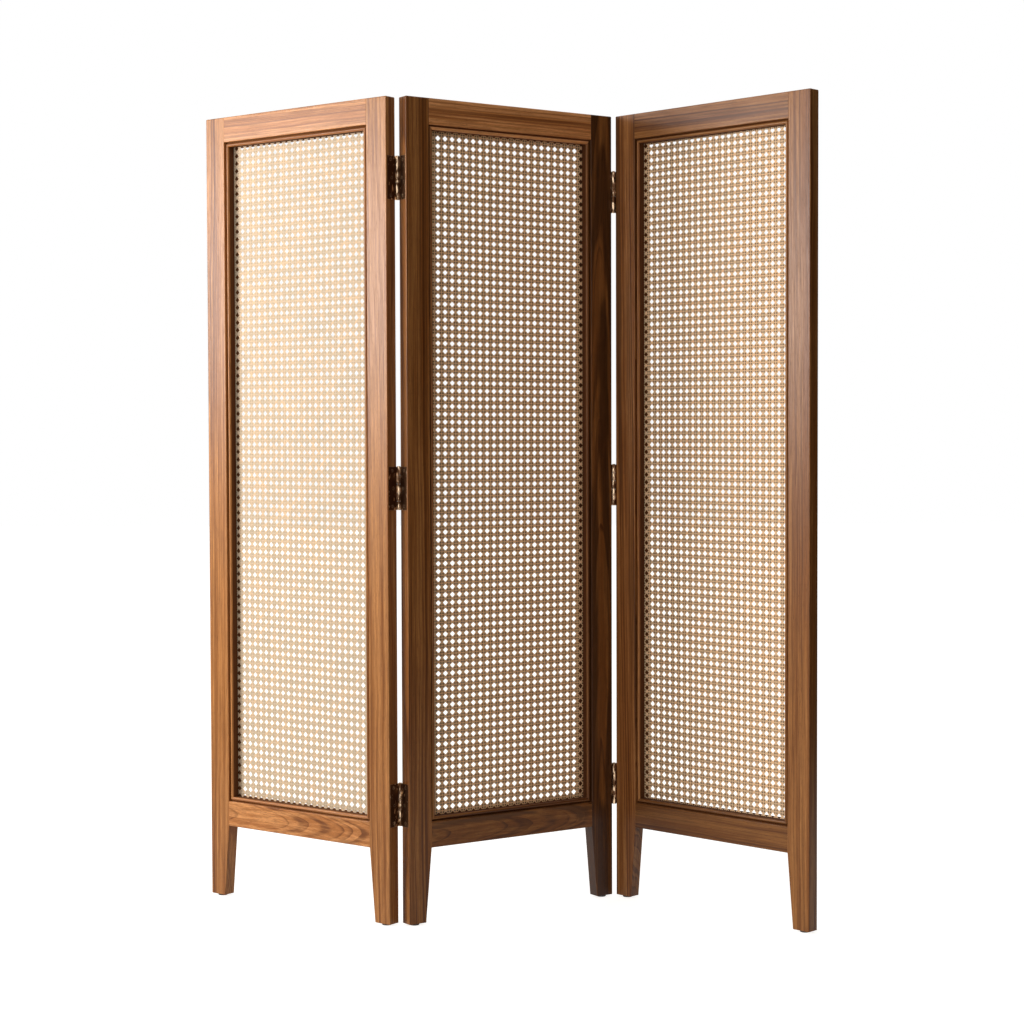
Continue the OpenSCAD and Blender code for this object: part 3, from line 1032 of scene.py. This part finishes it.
def walnut():
    """Oiled walnut: growth rings round the log's pith, heartwood streaks, fibres and pores."""
    if "walnut" in bpy.data.materials:
        return bpy.data.materials["walnut"]
    c = bpy.context.scene.screen_finish
    light, mid, dark = c.walnut_light, c.walnut_mid, c.walnut_dark
    f = Finish("walnut")
    board = f.attribute("board", "Vector")
    log = waved(f, board)
    radius = f.vector("LENGTH", f.vector("MULTIPLY", log, (1, 1, 0)), output="Value")
    broad = f.stretched_noise(log, BROAD, 2.0, 0.5)
    streak = f.stretched_noise(log, STREAK, 3.0, 0.6)
    bands = f.line_noise(radius, 60.0, 3.0)

    # Heartwood goes from the middle tone to the palest in broad, uneven streaks
    heart = f.ranged(f.summed((broad, 0.3), (bands, 0.3), (streak, 0.4)), 0.43, 0.57)
    tone = f.mixed(heart, rgba(mid), rgba(light))

    # Late wood darkens each ring more and more up to its edge, and less in the pale streaks
    ring = f.math("FRACT", f.summed((radius, RINGS), (f.line_noise(radius, 120.0, 2.0), RING_STRAY)))
    late = f.math("MULTIPLY", f.ranged(ring, 0.4, 0.93), f.ranged(ring, 1.0, 0.93))
    depth = f.math("MULTIPLY", late, f.ranged(f.math("ADD", streak, broad), 0.8, 1.2, 0.95, 0.3))
    tone = f.mixed(depth, tone, rgba(dark))

    # Near-black bands, as dark and as broad as the board's bands attribute says
    banded = f.parts(f.attribute("bands", "Vector"))
    reach = f.summed((bands, 0.55), (broad, 0.45), (banded["Y"], 0.25))
    core = f.math("MULTIPLY", f.ranged(reach, 0.575, 0.635), banded["X"])
    tone = f.mixed(core, tone, rgba(dark, 0.5))

    # Fine dark fibres and open pores along the board
    fibre = f.stretched_noise(board, FIBRE, 4.0, 0.7)
    fine = f.ranged(fibre, 0.35, 0.65)
    pore = f.ranged(f.stretched_noise(board, PORES, 2.0, 0.5), 0.60, 0.70)
    tone = f.mixed(f.math("MULTIPLY", fine, 0.5), tone, rgba(mid, 0.5))
    tone = f.mixed(f.math("MULTIPLY", pore, 0.5), tone, rgba(dark, 0.6))

    tone = f.mixed(1.0, tone, f.attribute("tint", "Color"), "MULTIPLY")
    # Painted shade: the recesses by the webbing are darkened as if in shadow, and made rougher so that they
    # reflect less
    recess_shade = f.attribute("recess_shade", "Fac")
    f.put("Base Color", f.mixed(f.math("MULTIPLY", recess_shade, 0.85), tone, rgba(dark, 0.5)))
    f.put("Roughness", f.summed((f.ranged(fibre, 0.3, 0.7, 0.31, 0.4), 1), (recess_shade, 0.65)))
    f.put("IOR", 1.45)
    f.put("Specular IOR Level", 0.28)
    f.bump(f.summed((fine, -0.35), (pore, -1)), 0.00008, 0.6)
    return f.material


def cane_finish():
    """Split cane: a satin skin with long fibres, and painted shade on the strands' flanks and in the corners
    of each hole, where the strands would shade each other. The lattice attribute holds a point's place in
    pitches from a hole and how strong that painted shade is."""
    c = bpy.context.scene.screen_cane
    f = Finish("cane")
    lattice = f.parts(f.attribute("lattice", "Vector"))

    # The distance from the spot of painted shade in a hole's corner, a third of a pitch aside and up from
    # the hole
    across, up = (f.math("SUBTRACT", f.math("PINGPONG", lattice[key], 0.5), 0.33) for key in ("X", "Z"))
    corner = f.vector("LENGTH", f.node("CombineXYZ", {"X": across, "Y": up}), output="Value")
    corner_shade = f.math("MULTIPLY", f.ranged(corner, 0.155, 0.07), lattice["Y"])

    place = f.outputs("TexCoord", {})["Object"]
    blotch = f.stretched_noise(place, (60, 60, 60), 3.0, 0.6)
    fibre = f.stretched_noise(place, (1700, 1700, 1700), 2.0, 0.5)
    # The strands' tone, from cool skin to golden: partly their own random variety, partly the panel's
    # painted light
    warmth_and_painted_light = f.summed(
        (f.attribute("tone", "Fac"), 1),
        (f.ranged(blotch, 0.3, 0.7, -0.2, 0.2), 1),
        (f.ranged(fibre, 0.3, 0.7, -0.15, 0.15), 1),
    )
    skin = f.mixed(warmth_and_painted_light, rgba(c.skin), rgba(c.gold))
    # Painted shade: the strands' flanks and backs, and the corners of the holes, are darkened towards the
    # edge colour as if in shadow
    flank_shade = f.ranged(f.attribute("flank", "Fac"), 0.35, 0.95)
    dark = f.math("MINIMUM", f.summed((flank_shade, 0.2), (corner_shade, 0.9)), 0.95)
    f.put("Base Color", f.mixed(dark, skin, rgba(c.edge)))
    f.put("Roughness", f.ranged(fibre, 0.3, 0.7, 0.5, 0.62))
    f.put("Specular IOR Level", 0.12)
    f.bump(fibre, 0.00008, 0.5)
    return f.material


def bronze_finish():
    """Aged bronze on brass, rubbed bare along the edges and here and there on the knuckles, where the pale
    brass is partly wear and partly a painted highlight.
    """
    c = bpy.context.scene.screen_finish
    f = Finish("bronze")
    place = f.outputs("TexCoord", {})["Object"]
    patch = f.stretched_noise(place, (190, 190, 75), 4.0, 0.6)
    grain = f.stretched_noise(place, (1900, 1900, 1900), 2.0, 0.6)

    # Near an edge the normal of a rounded surface leans away from the real one
    rounded = f.node("Bevel", {"Radius": 0.0007}, samples=6)
    own = f.outputs("NewGeometry", {})["Normal"]
    edge = f.ranged(f.vector("DOT_PRODUCT", rounded, own, "Value"), 0.995, 0.93)

    # Pale brass patches, more of them on the knuckles: partly rubbed wear, partly a painted highlight on the
    # knuckles
    wear_and_highlight = f.summed((patch, 1), (f.attribute("barrel", "Fac"), 0.13))
    rub_and_highlight = f.math("MINIMUM", f.summed((edge, 0.5), (f.ranged(wear_and_highlight, 0.6, 0.7), 1)), 1.0)
    f.put("Base Color", f.mixed(rub_and_highlight, rgba(c.bronze), rgba(c.brass)))
    f.put("Metallic", 1.0)
    f.put("Roughness", f.ranged(patch, 0.3, 0.75, 0.48, 0.28))
    f.bump(f.summed((patch, 1), (grain, 0.4)), 0.0001, 0.5)
    return f.material


def glide_finish():
    """Dark moulded plastic with a fine texture."""
    f = Finish("glide_plastic")
    grain = f.stretched_noise(f.outputs("TexCoord", {})["Object"], (1400, 1400, 1400), 2.0, 0.5)
    dark = bpy.context.scene.screen_finish.glide
    f.put("Base Color", f.mixed(grain, rgba(dark), rgba(dark, 1.8)))
    f.put("Roughness", f.ranged(grain, 0.3, 0.7, 0.45, 0.6))
    f.bump(grain, 0.00005, 0.5)
    return f.material


# The stage


def seen_directly(f):
    """1 for camera, glossy and transmission rays, 0 for the rays that light things evenly."""
    path = f.outputs("LightPath", {})
    seen = f.math("MAXIMUM", path["Is Camera Ray"], path["Is Glossy Ray"])
    return f.math("MAXIMUM", seen, path["Is Transmission Ray"])


def floor_finish(stage):
    """A matt pale floor that looks white to the camera and keeps a faint shadow."""
    f = Finish("floor")
    f.tree.nodes.remove(f.shader)
    matt = f.node("BsdfDiffuse", {"Color": rgba(stage.floor)})
    strength = f.math("MULTIPLY", seen_directly(f), stage.glow_level)
    glow = f.node("Emission", {"Color": rgba(stage.glow), "Strength": strength})
    both = f.node("AddShader", {0: matt, 1: glow})
    f.join(both, f.tree.nodes["Material Output"].inputs["Surface"])
    return f.material


def flag_finish():
    """Black cloth that takes light away from one side."""
    f = Finish("flag")
    f.put("Base Color", (0.004, 0.004, 0.004, 1.0))
    f.put("Roughness", 1.0)
    f.put("Specular IOR Level", 0.0)
    return f.material


def plane(name, corners, finish):
    """A flat sheet of the stage between four corners."""
    bm = bmesh.new()
    bm.faces.new([bm.verts.new(p) for p in corners])
    mesh = bpy.data.meshes.new(name)
    bm.to_mesh(mesh)
    bm.free()
    mesh.materials.append(finish)
    made = add_object(name, mesh)
    made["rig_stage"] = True
    return made


# Black cloths that the camera doesn't see, by their corners: a tall one on the right, and a low one on
# the left that shades the lower part
FLAGS = {
    "right_flag": [(2.3, -4, 0), (2.3, -4, 3), (2.0, 1.2, 3), (2.0, 1.2, 0)],
    "left_flag": [(-2.6, -4, 0), (-2.6, -4, 0.9), (-2.6, 1.5, 0.9), (-2.6, 1.5, 0)],
}


def soft_lamp(name, place, size, power, target):
    """A rectangular lamp that faces a point."""
    lamp = bpy.data.lights.new(name, "AREA")
    lamp.shape = "RECTANGLE"
    lamp.size, lamp.size_y = size
    lamp.energy = power
    holder = add_object(name, lamp)
    holder.location = place
    holder.rotation_euler = (Vector(target) - Vector(place)).to_track_quat("-Z", "Y").to_euler()


def even_light(stage):
    """A world that lights softly from the front and from a white wall behind, and that is pure white
    to the camera and in gloss."""
    world = bpy.data.worlds.new("even light")
    world.use_nodes = True
    f = Nodes(world.node_tree)
    way = f.parts(f.outputs("TexCoord", {})["Generated"])
    light = f.ranged(way["Y"], 0.1, 0.7, stage.sky, stage.backdrop)
    seen = seen_directly(f)
    strength = f.math("ADD", f.math("MULTIPLY", light, f.math("SUBTRACT", 1.0, seen)), seen)
    background = f.tree.nodes["Background"].inputs
    f.join(strength, background["Strength"])
    f.join((1, 1, 1, 1), background["Color"])
    return world


class FOLDING_SCREEN_OT_stage(bpy.types.Operator):
    """Set the floor, the flags, the lamps, the even light and the camera"""

    bl_idname = "folding_screen.stage"
    bl_label = "Stage"

    def execute(self, context):
        scene = context.scene
        stage = scene.screen_stage
        scene.view_settings.view_transform = "Standard"
        plane("floor", [(-20, -20, 0), (20, -20, 0), (20, 20, 0), (-20, 20, 0)], floor_finish(stage))
        cloth = flag_finish()
        for name, places in FLAGS.items():
            plane(name, places, cloth).visible_camera = False
        soft_lamp(
            "lamp", place=(-3.2, -0.58, 1.62), size=(1.3, 1.0), power=stage.lamp, target=(-0.3, 0, 1.3)
        )
        soft_lamp("fill", place=(-3.3, -3.6, 1.3), size=(3.0, 2.4), power=stage.fill, target=(0, 0, 0.8))
        scene.world = even_light(stage)
        camera = bpy.data.cameras.new("camera")
        camera.sensor_width = 36
        camera.lens = stage.lens
        view = add_object("camera", camera)
        view.location = stage.camera
        view.rotation_euler = (math.radians(90) - stage.dip, stage.roll, 0)
        scene.camera = view
        return {"FINISHED"}


GROUPS = {
    "screen_frame": ScreenFrame,
    "screen_trim": ScreenTrim,
    "screen_cane": ScreenCane,
    "screen_hinges": ScreenHinges,
    "screen_finish": ScreenFinish,
    "screen_stage": ScreenStage,
}
OPERATORS = (
    FOLDING_SCREEN_OT_frames,
    FOLDING_SCREEN_OT_trim,
    FOLDING_SCREEN_OT_cane,
    FOLDING_SCREEN_OT_hinges,
    FOLDING_SCREEN_OT_glides,
    FOLDING_SCREEN_OT_stage,
)


class FOLDING_SCREEN_PT_build(bpy.types.Panel):
    """Buttons that make each part of the screen"""

    bl_label = "Folding screen"
    bl_space_type = "VIEW_3D"
    bl_region_type = "UI"
    bl_category = "Screen"

    def draw(self, context):
        for operator in OPERATORS:
            self.layout.operator(operator.bl_idname)


def register():
    """Adds the property groups, the operators and the panel."""
    for name, group in GROUPS.items():
        bpy.utils.register_class(group)
        setattr(bpy.types.Scene, name, bpy.props.PointerProperty(type=group))
    for operator in OPERATORS:
        bpy.utils.register_class(operator)
    bpy.utils.register_class(FOLDING_SCREEN_PT_build)


def unregister():
    """Takes them away again."""
    bpy.utils.unregister_class(FOLDING_SCREEN_PT_build)
    for operator in reversed(OPERATORS):
        bpy.utils.unregister_class(operator)
    for name, group in reversed(GROUPS.items()):
        delattr(bpy.types.Scene, name)
        bpy.utils.unregister_class(group)


def corners():
    """The shown object's lowest and highest corner as plain lists."""
    return [list(point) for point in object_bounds()]


def main():
    """Builds the whole screen."""
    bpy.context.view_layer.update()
    register()
    bpy.ops.folding_screen.frames()
    bpy.ops.folding_screen.trim()
    bpy.ops.folding_screen.cane()
    bpy.ops.folding_screen.hinges()
    bpy.ops.folding_screen.glides()
    bpy.ops.folding_screen.stage()


if __name__ == "__main__":
    main()
